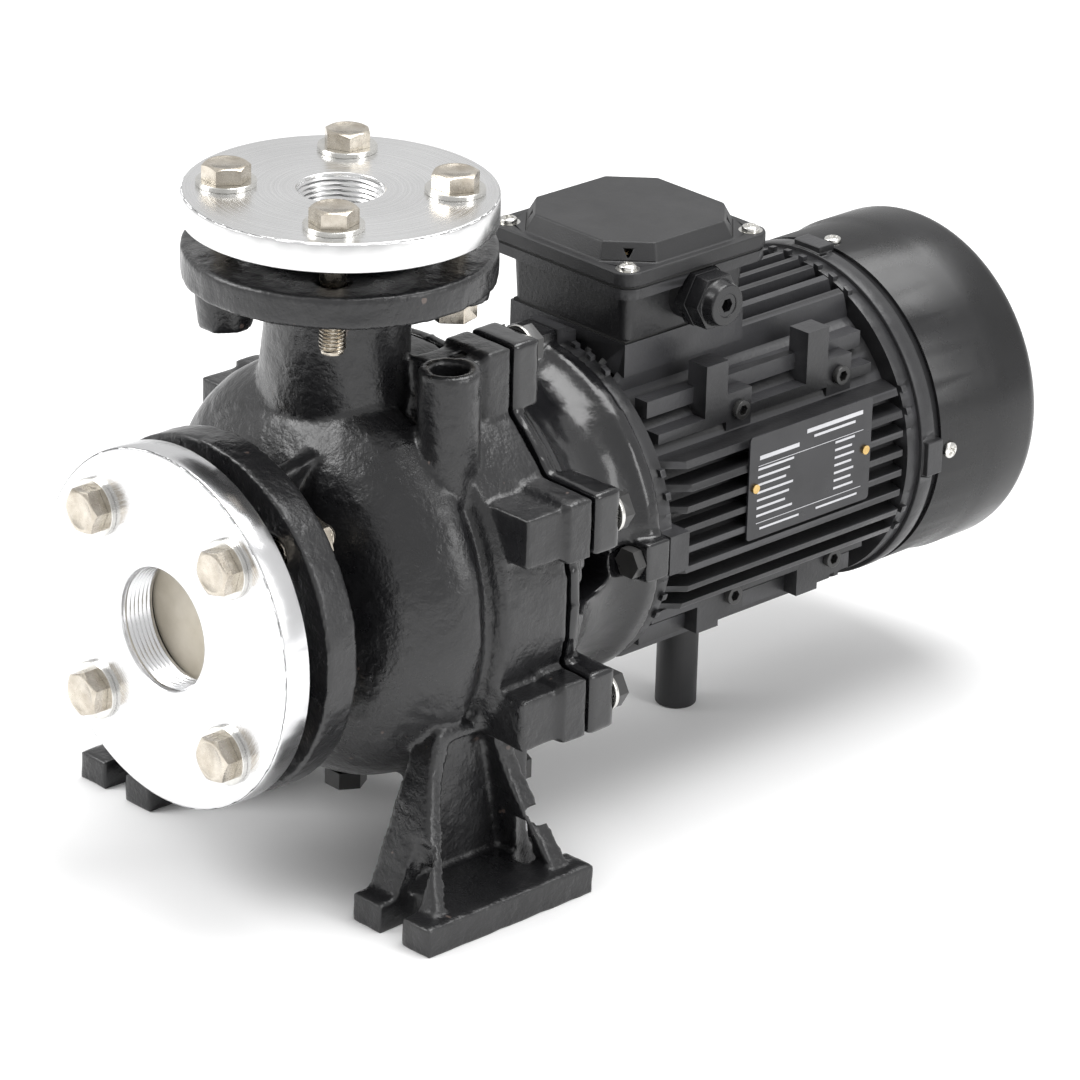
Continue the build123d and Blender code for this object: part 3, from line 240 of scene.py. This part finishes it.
def make_finishes():
    looks = {}
    # Each edge= tint lightens convex edges: partly worn paint, partly a painted highlight.
    looks["rough_cast_paint"] = finish(
        "rough_cast_paint", (0.006, 0.006, 0.007), (0.014, 0.014, 0.015), (0.22, 0.42),
        grains=((230.0, 0.55, 0.0012), (620.0, 0.45, 0.0005)), coat=0.25, coat_rough=0.2,
        edge=(0.35, (0.06, 0.06, 0.06)), chips=(95.0, 0.73, (0.10, 0.075, 0.065)))
    looks["gloss_cast_paint"] = finish(
        "gloss_cast_paint", (0.005, 0.005, 0.006), (0.010, 0.010, 0.011), (0.16, 0.32),
        grains=((150.0, 0.30, 0.0010), (700.0, 0.15, 0.0003)), coat=0.4, coat_rough=0.12)
    # Its edge= tint is partly wear and partly a painted sheen on the edges.
    looks["motor_paint"] = finish(
        "motor_paint", (0.009, 0.009, 0.010), (0.018, 0.018, 0.019), (0.30, 0.46),
        grains=((480.0, 0.30, 0.0005), (1300.0, 0.2, 0.0002)), edge=(0.5, (0.07, 0.07, 0.075)))
    looks["cover_paint"] = finish(
        "cover_paint", (0.007, 0.007, 0.0075), (0.011, 0.011, 0.012), (0.24, 0.32),
        grains=((60.0, 0.06, 0.0010), (1500.0, 0.12, 0.0002)))
    looks["lid_paint"] = finish(
        "lid_paint", (0.012, 0.012, 0.013), (0.020, 0.020, 0.021), (0.42, 0.55),
        grains=((1400.0, 0.35, 0.0003), (40.0, 0.05, 0.001)))
    # Its edge= tint is partly wear and partly a painted highlight on the edges.
    looks["black_fastener"] = finish(
        "black_fastener", (0.010, 0.010, 0.010), (0.022, 0.021, 0.020), (0.25, 0.42),
        grains=((900.0, 0.15, 0.0003),), edge=(0.5, (0.12, 0.12, 0.12)))
    looks["leg_paint"] = finish(
        "leg_paint", (0.014, 0.014, 0.015), (0.024, 0.024, 0.025), (0.40, 0.52),
        grains=((1100.0, 0.2, 0.0003),))
    looks["gasket"] = finish(
        "gasket", (0.010, 0.010, 0.010), (0.022, 0.022, 0.021), (0.62, 0.78), grains=((800.0, 0.3, 0.0003),))
    looks["rubber"] = finish(
        "rubber", (0.010, 0.010, 0.010), (0.020, 0.020, 0.020), (0.50, 0.68), grains=((700.0, 0.2, 0.0002),))
    looks["transit_card"] = finish(
        "transit_card", (0.52, 0.47, 0.38), (0.66, 0.61, 0.52), (0.48, 0.60),
        grains=((900.0, 0.15, 0.0002),), patches=60.0)
    looks["bright_zinc"] = finish(
        "bright_zinc", (0.62, 0.61, 0.58), (0.78, 0.77, 0.74), (0.16, 0.30), metallic=1.0,
        grains=((1100.0, 0.12, 0.0002),), patches=120.0)
    looks["warm_zinc"] = finish(
        "warm_zinc", (0.46, 0.41, 0.34), (0.68, 0.63, 0.55), (0.18, 0.34), metallic=1.0,
        grains=((700.0, 0.15, 0.0002),), patches=140.0)
    looks["cast_iron"] = finish(
        "cast_iron", (0.10, 0.10, 0.10), (0.17, 0.17, 0.17), (0.5, 0.7), metallic=0.8,
        grains=((380.0, 0.4, 0.0006),))
    looks["stainless"] = finish(
        "stainless", (0.48, 0.48, 0.48), (0.62, 0.62, 0.62), (0.20, 0.34), metallic=1.0,
        grains=((1200.0, 0.1, 0.0002),))
    looks["seal_ceramic"] = finish(
        "seal_ceramic", (0.74, 0.73, 0.69), (0.83, 0.82, 0.78), (0.14, 0.24), grains=((900.0, 0.05, 0.0001),))
    looks["seal_carbon"] = finish(
        "seal_carbon", (0.03, 0.03, 0.03), (0.05, 0.05, 0.05), (0.35, 0.5), grains=((900.0, 0.1, 0.0001),))
    looks["electrical_steel"] = finish(
        "electrical_steel", (0.20, 0.21, 0.23), (0.30, 0.31, 0.33), (0.4, 0.55), metallic=0.9,
        grains=((900.0, 0.2, 0.0003),))
    looks["fan_plastic"] = finish(
        "fan_plastic", (0.020, 0.020, 0.020), (0.035, 0.035, 0.035), (0.45, 0.6),
        grains=((900.0, 0.2, 0.0002),))
    looks["bearing_steel"] = finish(
        "bearing_steel", (0.58, 0.58, 0.59), (0.70, 0.70, 0.71), (0.10, 0.20), metallic=1.0,
        grains=((1500.0, 0.06, 0.0001),))
    looks["copper_winding"] = finish(
        "copper_winding", (0.42, 0.17, 0.06), (0.60, 0.28, 0.10), (0.28, 0.42), metallic=0.9,
        grains=((420.0, 0.5, 0.0008),))
    looks["terminal_plastic"] = finish(
        "terminal_plastic", (0.42, 0.11, 0.04), (0.55, 0.16, 0.06), (0.4, 0.5),
        grains=((900.0, 0.2, 0.0002),))
    looks["brass"] = finish(
        "brass", (0.50, 0.33, 0.12), (0.66, 0.47, 0.20), (0.22, 0.34), metallic=1.0,
        grains=((900.0, 0.12, 0.0002),), patches=200.0)
    looks["gland_plastic"] = finish(
        "gland_plastic", (0.007, 0.007, 0.008), (0.013, 0.013, 0.014), (0.20, 0.32),
        grains=((800.0, 0.1, 0.0002),))
    looks["plate_dark"] = finish(
        "plate_dark", (0.012, 0.012, 0.014), (0.022, 0.022, 0.025), (0.26, 0.36),
        grains=((1200.0, 0.08, 0.0001),), patches=60.0)
    looks["plate_mark"] = finish(
        "plate_mark", (0.50, 0.50, 0.52), (0.62, 0.62, 0.64), (0.30, 0.42), metallic=0.6,
        grains=((1500.0, 0.1, 0.0001),))
    suction_centre = (0.0, 0.0, SHAFT_Z)
    looks["suction_turned"] = turned(
        "suction_turned", suction_centre, (0, 1, 0), (0.16, 0.30), 900.0, (0.84, 0.84, 0.85))
    looks["discharge_turned"] = turned(
        "discharge_turned", (0.0, 0.0, 0.0), (0, 0, 1), (0.20, 0.34), 900.0, (0.80, 0.80, 0.80))
    return looks


LOOKS = make_finishes()


# ---- mesh helpers ----

SHARP_ANGLE = math.radians(38)


def make_piece(name, bm, look, smooth=True):
    """Turns a bmesh into a finished piece that rides on the housing."""
    bmesh.ops.recalc_face_normals(bm, faces=bm.faces)
    mesh = bpy.data.meshes.new(name)
    bm.to_mesh(mesh)
    bm.free()
    piece = bpy.data.objects.new(name, mesh)
    bpy.context.scene.collection.objects.link(piece)
    mesh.materials.append(LOOKS[look])
    if smooth:
        mesh.shade_smooth()
        mesh.set_sharp_from_angle(angle=SHARP_ANGLE)
    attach(piece, "housing")
    return piece


def placed(origin, direction, twist=0.0):
    """A matrix that sends local +Z to a direction, at an origin."""
    turn = UP.rotation_difference(direction).to_matrix().to_4x4()
    return Matrix.Translation(origin) @ turn @ Matrix.Rotation(twist, 4, "Z")


def ring_stack(bm, rings, hollow=False):
    """Joins rings of equally many points into a skin, with closed ends or, if hollow, joined ends."""
    loops = []
    for ring in rings:
        loops.append([bm.verts.new(point) for point in ring])
    if hollow:
        loops.append(loops[0])
    count = len(loops[0])
    for lower, upper in zip(loops, loops[1:]):
        for i in range(count):
            j = (i + 1) % count
            bm.faces.new((lower[i], lower[j], upper[j], upper[i]))
    if not hollow:
        bm.faces.new(reversed(loops[0]))
        bm.faces.new(loops[-1])


def circle_points(radius, height, matrix, count=48):
    """Evenly spaced points round a circle about local Z."""
    points = []
    for i in range(count):
        angle = 2 * math.pi * i / count
        points.append(matrix @ Vector((radius * math.cos(angle), radius * math.sin(angle), height)))
    return points


def lathe(bm, profile, matrix, count=48, hollow=False):
    """Turns a profile of (radius, height) about local Z. A hollow one is a closed profile of a ring."""
    ring_stack(bm, [circle_points(radius, height, matrix, count) for radius, height in profile], hollow)


def hex_ring(flats, height, matrix, count=72, cap=None):
    """Points round a hexagon, or round the circle that trims it where that is smaller."""
    points = []
    for i in range(count):
        angle = 2 * math.pi * i / count
        within = (angle % (math.pi / 3)) - math.pi / 6
        radius = flats / 2 / math.cos(within)
        level = height
        if cap is not None:
            cap_radius, slope = cap
            level = height - max(0.0, radius - cap_radius) * slope
        points.append(matrix @ Vector((radius * math.cos(angle), radius * math.sin(angle), level)))
    return points


def hex_head(bm, flats, height, matrix):
    """A hexagon head with the 30 degree chamfer that rounds its corners."""
    cap_radius = flats / 2 * 0.93
    slope = math.tan(math.radians(30))
    foot = flats * 0.004
    rings = [
        hex_ring(flats * 0.97, 0.0, matrix),
        hex_ring(flats, foot, matrix),
        hex_ring(flats, height, matrix, cap=(cap_radius, slope)),
        circle_points(cap_radius, height, matrix, 72),
        circle_points(cap_radius * 0.9, height, matrix, 72),
        circle_points(cap_radius * 0.86, height - flats * 0.012, matrix, 72),
    ]
    ring_stack(bm, rings)


def threaded_rod(bm, radius, pitch, start, end, matrix, count=36, steps=6):
    """A rod with a real helical thread between two heights."""
    depth = 0.58 * pitch
    rows = int((end - start) / pitch * steps)
    rings = [circle_points(radius - depth, start - 0.2 * pitch, matrix, count)]
    for row in range(rows + 1):
        height = start + (end - start) * row / rows
        points = []
        for i in range(count):
            angle = 2 * math.pi * i / count
            phase = (height / pitch - i / count) % 1.0
            crest = 1.0 - abs(2.0 * phase - 1.0)
            fade = min(1.0, (end - height) / pitch, (height - start) / pitch + 0.15)
            at = radius - depth * (1.0 - min(1.0, 1.25 * crest) * max(0.0, fade))
            points.append(matrix @ Vector((at * math.cos(angle), at * math.sin(angle), height)))
        rings.append(points)
    rings.append(circle_points(radius - 1.1 * depth, end + 0.3 * pitch, matrix, count))
    ring_stack(bm, rings)


def thread_liner(bm, radius, pitch, start, end, matrix, count=96, steps=8):
    """The thread inside a pipe flange's bore, as a thin liner with a helical crest."""
    depth = 0.45 * pitch
    rows = int((end - start) / pitch * steps)
    outer = radius + 0.2 * MM
    rings = [circle_points(outer, start, matrix, count)]
    for row in range(rows + 1):
        height = start + (end - start) * row / rows
        points = []
        for i in range(count):
            angle = 2 * math.pi * i / count
            phase = (height / pitch - i / count) % 1.0
            crest = 1.0 - abs(2.0 * phase - 1.0)
            fade = max(0.0, min(1.0, (end - height) / pitch, (height - start) / pitch))
            at = radius - 0.02 * MM - depth * crest * fade
            points.append(matrix @ Vector((at * math.cos(angle), at * math.sin(angle), height)))
        rings.append(points)
    rings.append(circle_points(outer, end, matrix, count))
    ring_stack(bm, rings, hollow=True)


def cross_screw(bm, radius, height, matrix):
    """A pan head with a cross recess, as a domed grid over a short rim."""
    arm = 0.16 * radius
    reach = 0.62 * radius
    rings = []
    count = 48
    steps = 26
    for step in range(steps + 1):
        share = 1.0 - step / steps
        at = radius * share
        points = []
        for i in range(count):
            angle = 2 * math.pi * i / count
            x = at * math.cos(angle)
            y = at * math.sin(angle)
            level = height * (0.45 + 0.55 * math.sqrt(max(0.0, 1.0 - share * share)))
            in_cross = min(abs(x), abs(y)) < arm and max(abs(x), abs(y)) < reach
            if in_cross:
                level -= 0.5 * height * (1.0 - max(abs(x), abs(y)) / reach * 0.6)
            points.append(matrix @ Vector((x, y, level)))
        rings.append(points)
    rings[-1] = circle_points(0.02 * radius, height * 0.5, matrix, count)
    ring_stack(bm, [circle_points(radius, 0.0, matrix, count)] + rings)


def box_mesh(bm, low, high):
    """A box between two corners."""
    made = bmesh.ops.create_cube(bm, size=1.0)
    size = Vector(high) - Vector(low)
    centre = (Vector(high) + Vector(low)) / 2
    for vert in made["verts"]:
        vert.co = Vector((vert.co.x * size.x, vert.co.y * size.y, vert.co.z * size.z)) + centre


def square_places(half):
    """The four corners of a square, in order."""
    return [(half, half), (-half, half), (-half, -half), (half, -half)]


# ---- flange fasteners ----

def flange_sets():
    """(under-washer point, direction the head faces) for the eight flange bolts."""
    sets = []
    front = SUCTION_FLANGE[0].y
    top = DISCHARGE_FLANGE[1].z
    for x, z in square_places(SUCTION_BOLT_AT):
        sets.append((Vector((x, front, SHAFT_Z + z)), FORWARD))
    for x, y in square_places(DISCHARGE_BOLT_AT):
        sets.append((Vector((x, y, top)), UP))
    return sets


def build_flange_bolts():
    """Hexagon bolts, plain for half their length and threaded to the tip."""
    bm = bmesh.new()
    turns = random.Random(4)
    for seat, out in flange_sets():
        twist = turns.uniform(0, math.pi / 3)
        under_head = seat + out * WASHER_T
        hex_head(bm, ACROSS_FLATS, HEAD_H, placed(under_head, out, twist))
        down = placed(under_head, -out)
        plain = BOLT_LENGTH * 0.5
        lathe(bm, ((THREAD_R, 0.0), (THREAD_R, plain - 1 * MM), (THREAD_R * 0.87, plain)), down)
        threaded_rod(bm, THREAD_R, THREAD_PITCH, plain - 0.5 * MM, BOLT_LENGTH - 0.8 * MM, down)
    piece = make_piece("flange_bolt_set", bm, "warm_zinc")
    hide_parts("flange_bolts")


def build_flange_washers():
    """Plain washers with rolled edges."""
    edge = 0.35 * MM
    profile = ((WASHER_HOLE_R, 0.0), (WASHER_R - edge, 0.0), (WASHER_R, edge),
               (WASHER_R, WASHER_T - edge), (WASHER_R - edge, WASHER_T), (WASHER_HOLE_R, WASHER_T))
    bm = bmesh.new()
    for seat, out in flange_sets():
        lathe(bm, profile, placed(seat, out), count=64, hollow=True)
    piece = make_piece("flange_washer_set", bm, "bright_zinc")
    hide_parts("flange_washers")


def build_flange_threads():
    """The pipe threads in the two counter flanges."""
    bm = bmesh.new()
    low, high = SUCTION_FLANGE
    start = placed(Vector((0, high.y, SHAFT_Z)), FORWARD)
    thread_liner(bm, SUCTION_BORE_R, PIPE_PITCH, 0.4 * MM, high.y - low.y - 1.6 * MM, start)
    make_piece("suction_pipe_thread", bm, "suction_turned")
    bm = bmesh.new()
    low, high = DISCHARGE_FLANGE
    start = placed(Vector((0, 0, low.z)), UP)
    thread_liner(bm, DISCHARGE_BORE_R, PIPE_PITCH, 0.4 * MM, high.z - low.z - 1.4 * MM, start)
    make_piece("discharge_pipe_thread", bm, "discharge_turned")


# ---- small screws ----

def build_lid_screws():
    """Pan head screws with captive washers, at the lid's corners."""
    low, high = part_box("lid_screws")
    centre = (low + high) / 2
    half_x = (high.x - low.x) / 2 - LID_SCREW_R
    half_y = (high.y - low.y) / 2 - LID_SCREW_R
    washer_in, washer_out, washer_t = 2.4 * MM, 5.6 * MM, 0.8 * MM
    rim = ((washer_in, -washer_t), (washer_out, -washer_t), (washer_out, 0.0), (washer_in, 0.0))
    bm = bmesh.new()
    turns = random.Random(9)
    for sx, sy in square_places(1):
        seat = Vector((centre.x + sx * half_x, centre.y + sy * half_y, high.z - LID_SCREW_H))
        cross_screw(bm, LID_SCREW_R, LID_SCREW_H, placed(seat, UP, turns.uniform(0, 1.5)))
        shank = Vector((seat.x, seat.y, low.z))
        rod = ((SCREW_SHANK_R, 0.0), (SCREW_SHANK_R, high.z - LID_SCREW_H - low.z))
        lathe(bm, rod, placed(shank, UP), count=24)
        lathe(bm, rim, placed(seat + UP * 0.1 * MM, UP), count=40, hollow=True)
    piece = make_piece("lid_screw_set", bm, "bright_zinc")
    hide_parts("lid_screws")


def build_cover_screws():
    """Pan head screws round the rim of the fan cover."""
    low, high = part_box("cover_screws")
    centre = (low + high) / 2
    reach = (high.x - low.x) / 2
    rod = ((SCREW_SHANK_R, -9 * MM), (SCREW_SHANK_R, 0.0))
    bm = bmesh.new()
    turns = random.Random(12)
    for quarter in range(4):
        angle = math.radians(90 * quarter)
        out = Vector((math.cos(angle), 0, math.sin(angle)))
        seat = Vector((0, centre.y, SHAFT_Z)) + out * (reach - COVER_SCREW_H)
        cross_screw(bm, COVER_SCREW_R, COVER_SCREW_H, placed(seat, out, turns.uniform(0, 1.5)))
        lathe(bm, rod, placed(seat, out), count=24)
    piece = make_piece("cover_screw_set", bm, "bright_zinc")
    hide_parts("cover_screws")


# ---- nameplate ----

def build_plate_marks():
    """Plain bars and rules where the real plate has its printing, with no lettering."""
    low, high = PLATE
    width = high.y - low.y
    height = high.z - low.z
    front = high.x
    thick = 0.15 * MM
    bm = bmesh.new()

    def bar(left, right, bottom, top):
        box_mesh(bm, (front - thick / 2, low.y + left * width, low.z + bottom * height),
                 (front + thick, low.y + right * width, low.z + top * height))

    bar(0.46, 0.92, 0.86, 0.90)
    bar(0.52, 0.86, 0.80, 0.825)
    bar(0.08, 0.40, 0.76, 0.80)
    for row in range(7):
        level = 0.66 - 0.075 * row
        bar(0.07, 0.36 - 0.03 * (row % 3), level, level + 0.022)
        bar(0.70, 0.86 - 0.02 * (row % 2), level, level + 0.022)
    bar(0.07, 0.93, 0.70, 0.706)
    bar(0.07, 0.93, 0.145, 0.151)
    bar(0.10, 0.42, 0.08, 0.10)
    bar(0.56, 0.90, 0.08, 0.10)
    make_piece("nameplate_marks", bm, "plate_mark", smooth=False)


# ---- gland ----

def build_gland_ribs():
    """Grip ribs round the gland's dome nut."""
    low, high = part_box("gland_nut")
    centre = (low + high) / 2
    radius = (high.z - low.z) / 2
    bm = bmesh.new()
    ribs = 14
    profile = ((0.5 * MM, 0.0), (1.1 * MM, 0.6 * MM), (1.1 * MM, 6.0 * MM), (0.5 * MM, 7.0 * MM))
    for i in range(ribs):
        angle = 2 * math.pi * i / ribs
        out = Vector((0, math.cos(angle), math.sin(angle)))
        start = Vector((low.x + 1.0 * MM, centre.y, centre.z)) + out * (radius - 1.1 * MM)
        lathe(bm, profile, placed(start, Vector((1, 0, 0))), count=12)
    make_piece("gland_grip_ribs", bm, "gland_plastic")


# ---- castings: the CAD shape with rounded, slightly uneven cast surfaces ----

WAVES_PER_METRE = 90.0
SMOOTH_STEPS = 3


def cast_copy(name, node, slot, voxel, unevenness):
    """Copies a CAD node with every edge rounded and the surface slightly uneven, as a casting has it."""
    bm = bmesh.new()
    bm.from_mesh(nodes[node].data)
    bmesh.ops.remove_doubles(bm, verts=bm.verts, dist=1e-6)
    mesh = bpy.data.meshes.new(name)
    bm.to_mesh(mesh)
    bm.free()
    piece = bpy.data.objects.new(name, mesh)
    bpy.context.scene.collection.objects.link(piece)
    remesh = piece.modifiers.new("cast", "REMESH")
    remesh.mode = "VOXEL"
    remesh.voxel_size = voxel
    soften = piece.modifiers.new("soften", "SMOOTH")
    soften.factor = 0.5
    soften.iterations = SMOOTH_STEPS
    bpy.context.view_layer.update()
    shaped = piece.evaluated_get(bpy.context.evaluated_depsgraph_get())
    solid = bpy.data.meshes.new_from_object(shaped)
    piece.modifiers.clear()
    piece.data = solid
    low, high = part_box(node)
    starts = [vert.co.copy() for vert in solid.vertices]
    normals = [vert.normal.copy() for vert in solid.vertices]
    places = []
    for start, normal in zip(starts, normals):
        push = noise.fractal(start * WAVES_PER_METRE, 0.9, 2.0, 2) * unevenness
        moved = start + normal * push
        for axis in range(3):
            places.append(min(max(moved[axis], low[axis]), high[axis]))
    solid.vertices.foreach_set("co", places)
    solid.update()
    solid.materials.clear()
    solid.materials.append(LOOKS[slot])
    solid.shade_smooth()
    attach(piece, "housing")
    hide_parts(node)


# ---- the CAD nodes that stay: finishes and softened edges ----

# Edge widths in millimetres.
BEVELS = {
    "motor_frame": 0.6, "end_shield": 0.6, "fan_cover": 0.5, "terminal_box": 1.0, "terminal_lid": 0.9,
    "suction_counter_flange": 0.7, "discharge_counter_flange": 0.6, "support_leg": 0.5,
    "flange_nuts": 0.4, "casing_bolts": 0.4, "casing_washers": 0.3, "motor_bolts": 0.4,
    "drain_plug": 0.4, "pad_screws": 0.3, "nameplate": 0.2, "nameplate_rivets": 0.15,
    "gland_body": 0.4, "gland_nut": 0.5, "gland_plug": 0.3, "back_plate": 0.6,
}


TURNED = {"suction_counter_flange": "suction_turned", "discharge_counter_flange": "discharge_turned"}


def dress_nodes():
    """Gives each CAD node its slot's finish, and softened edges where they are seen."""
    for name, node in nodes.items():
        slot = node.data.materials[0].name.split(".")[0]
        look = TURNED.get(name, slot)
        node.data.materials.clear()
        node.data.materials.append(LOOKS[look])
        if name in BEVELS:
            weld = node.modifiers.new("weld", "WELD")
            weld.merge_threshold = 1e-6
            soft = node.modifiers.new("edges", "BEVEL")
            soft.width = BEVELS[name] * MM
            soft.segments = 2
            soft.limit_method = "ANGLE"
            soft.angle_limit = math.radians(35)
            soft.harden_normals = True
            soft.use_clamp_overlap = True


# ---- stage, light and camera ----

FLOOR_HALF = 9.0


def build_stage():
    """A plain pale floor, large enough to be the whole background."""
    bm = bmesh.new()
    bmesh.ops.create_grid(bm, x_segments=1, y_segments=1, size=FLOOR_HALF)
    mesh = bpy.data.meshes.new("floor")
    bm.to_mesh(mesh)
    bm.free()
    floor = bpy.data.objects.new("floor", mesh)
    bpy.context.scene.collection.objects.link(floor)
    material, tree, shader = new_material("floor")
    shader.inputs["Base Color"].default_value = (0.92, 0.92, 0.92, 1)
    shader.inputs["Roughness"].default_value = 0.9
    shader.inputs["Specular IOR Level"].default_value = 0.0
    mesh.materials.append(material)


def area_light(name, place, aim, wide, tall, power):
    """A soft rectangular light, aimed at a point, with its power in watts."""
    data = bpy.data.lights.new(name, "AREA")
    data.shape = "RECTANGLE"
    data.size = wide
    data.size_y = tall
    data.energy = power
    lamp = bpy.data.objects.new(name, data)
    lamp.location = place
    lamp.rotation_euler = (Vector(aim) - Vector(place)).to_track_quat("-Z", "Y").to_euler()
    bpy.context.scene.collection.objects.link(lamp)


def build_lights():
    """Three soft lights and an even white surround."""
    aim = (0.0, 0.1, 0.15)
    area_light("key_light", (-1.1, -1.3, 1.5), aim, 1.1, 1.1, 26.0)
    area_light("top_light", (0.1, 0.5, 1.7), aim, 1.2, 1.2, 24.0)
    area_light("side_light", (1.7, 0.5, 0.9), aim, 0.6, 1.2, 10.0)
    world = bpy.data.worlds.new("studio")
    world.use_nodes = True
    background = world.node_tree.nodes["Background"]
    background.inputs["Color"].default_value = (1.0, 1.0, 1.0, 1)
    background.inputs["Strength"].default_value = 0.75
    bpy.context.scene.world = world
    bpy.context.scene.view_settings.view_transform = "Standard"


def build_camera():
    """Stands off at the photograph's azimuth and elevation, with its slight roll."""
    level = Vector((math.cos(CAMERA_AZIMUTH), math.sin(CAMERA_AZIMUTH), 0))
    ahead = Vector((math.sin(CAMERA_AZIMUTH), -math.cos(CAMERA_AZIMUTH), 0))
    back = ahead * math.cos(CAMERA_ELEVATION) + UP * math.sin(CAMERA_ELEVATION)
    above = back.cross(level)
    right = level * math.cos(CAMERA_ROLL) + above * math.sin(CAMERA_ROLL)
    upward = above * math.cos(CAMERA_ROLL) - level * math.sin(CAMERA_ROLL)
    turn = Matrix((right, upward, back)).transposed().to_4x4()
    data = bpy.data.cameras.new("camera")
    data.lens = CAMERA_LENS_MM
    data.sensor_width = 36.0
    data.clip_end = 50.0
    camera = bpy.data.objects.new("camera", data)
    camera.matrix_world = Matrix.Translation(CAMERA_AT) @ turn
    bpy.context.scene.collection.objects.link(camera)
    bpy.context.scene.camera = camera


build_camera()
build_stage()
build_lights()
dress_nodes()
build_flange_bolts()
build_flange_washers()
build_flange_threads()
build_lid_screws()
build_cover_screws()
build_plate_marks()
build_gland_ribs()
cast_copy("cast_volute", "volute_casing", "rough_cast_paint", 1.6 * MM, 0.35 * MM)
cast_copy("cast_bracket", "motor_bracket", "gloss_cast_paint", 1.5 * MM, 0.25 * MM)
